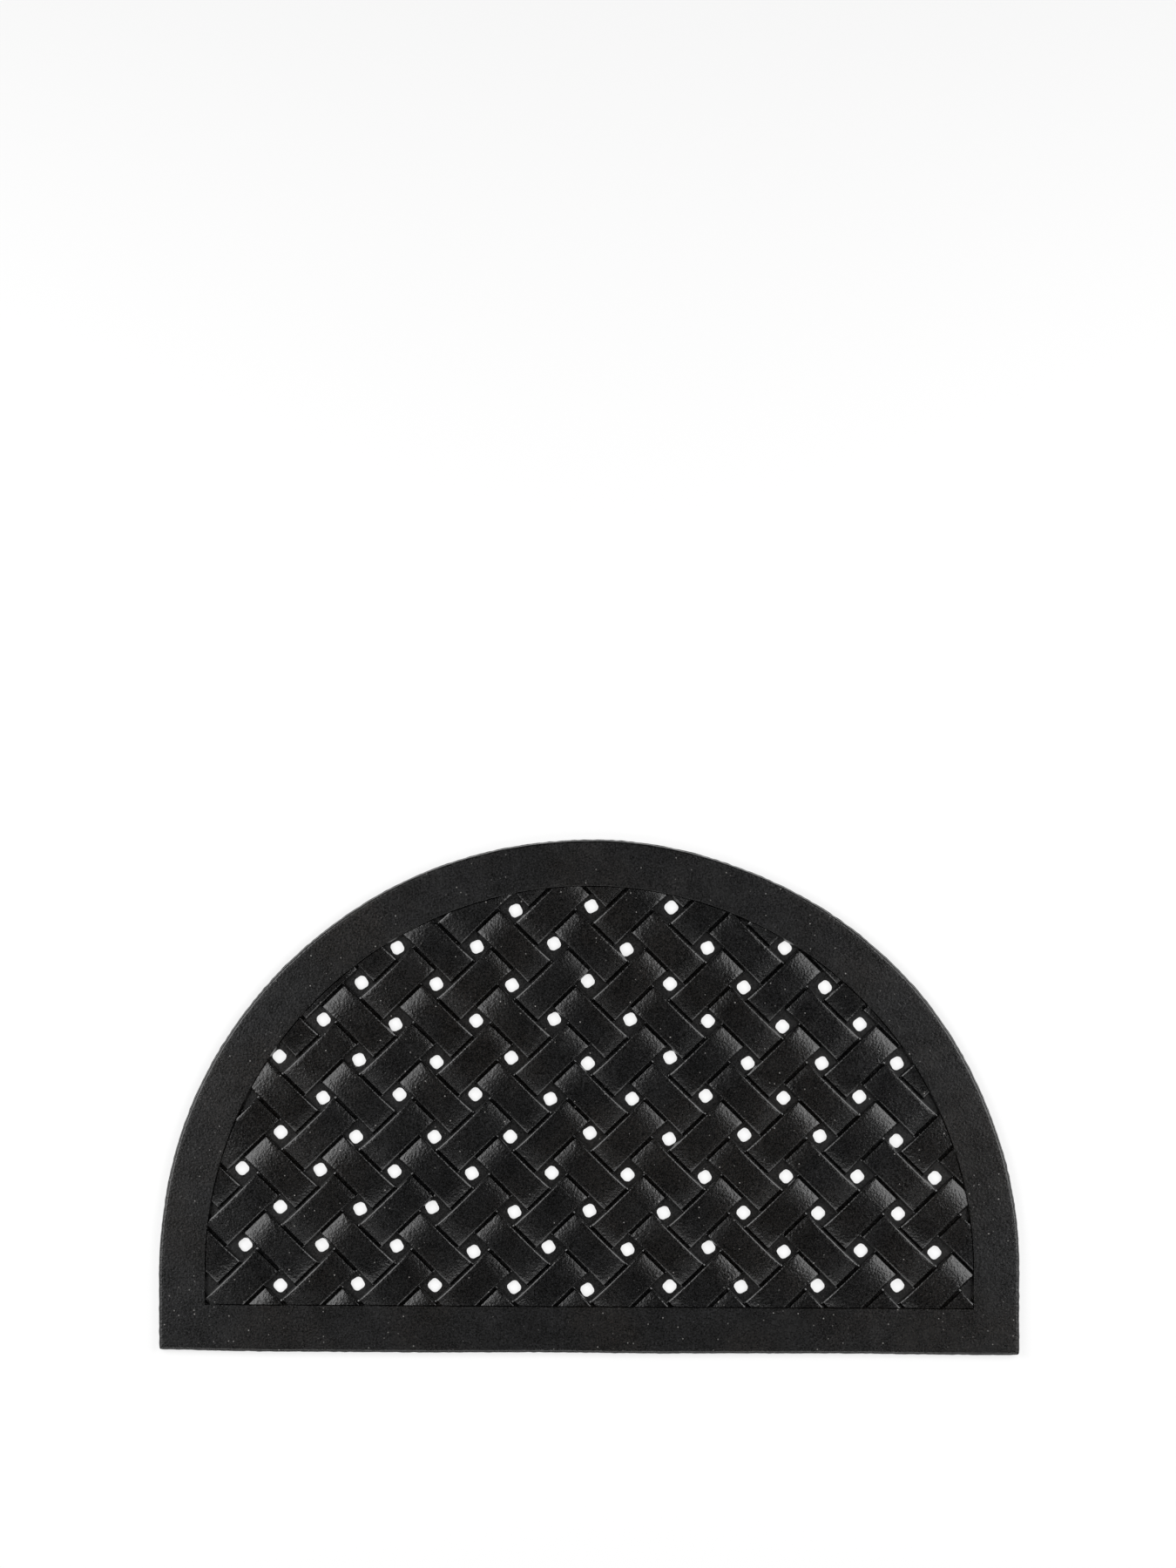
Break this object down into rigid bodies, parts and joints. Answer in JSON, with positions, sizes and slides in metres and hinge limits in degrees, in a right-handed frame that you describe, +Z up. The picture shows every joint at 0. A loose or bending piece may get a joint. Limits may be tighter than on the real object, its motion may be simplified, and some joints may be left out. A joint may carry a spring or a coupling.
{
  "type": "door mat",
  "caption": "Half-round black rubber door mat with a flat rim and a diagonal basket weave of straps over a sheet with drain holes.",
  "frame": {"origin": "on the floor, under the middle of the mat's bounding box in X and Y", "axes": "+X along the straight front edge, +Y from the front edge towards the crown of the half round, +Z up, out of the face that is walked on"},
  "size_m": [0.75, 0.447, 0.009],
  "materials": {
    "rim_rubber": "matt moulded rubber with a fine pebbled grain",
    "sheet_rubber": "matt moulded rubber, slightly dusty",
    "strap_rubber": "satin moulded rubber with a fine pebbled grain"
  },
  "bodies": {
    "root": {"rim": "rim_rubber", "drained_sheet": "sheet_rubber", "strap_falling_01": "strap_rubber", "strap_falling_02": "strap_rubber", "strap_falling_03": "strap_rubber", "strap_falling_04": "strap_rubber", "strap_falling_05": "strap_rubber", "strap_falling_06": "strap_rubber", "strap_falling_07": "strap_rubber", "strap_falling_08": "strap_rubber", "strap_falling_09": "strap_rubber", "strap_falling_10": "strap_rubber", "strap_falling_11": "strap_rubber", "strap_falling_12": "strap_rubber", "strap_falling_13": "strap_rubber", "strap_rising_01": "strap_rubber", "strap_rising_02": "strap_rubber", "strap_rising_03": "strap_rubber", "strap_rising_04": "strap_rubber", "strap_rising_05": "strap_rubber", "strap_rising_06": "strap_rubber", "strap_rising_07": "strap_rubber", "strap_rising_08": "strap_rubber", "strap_rising_09": "strap_rubber", "strap_rising_10": "strap_rubber", "strap_rising_11": "strap_rubber", "strap_rising_12": "strap_rubber", "strap_rising_13": "strap_rubber"}
  },
  "joints": []
}
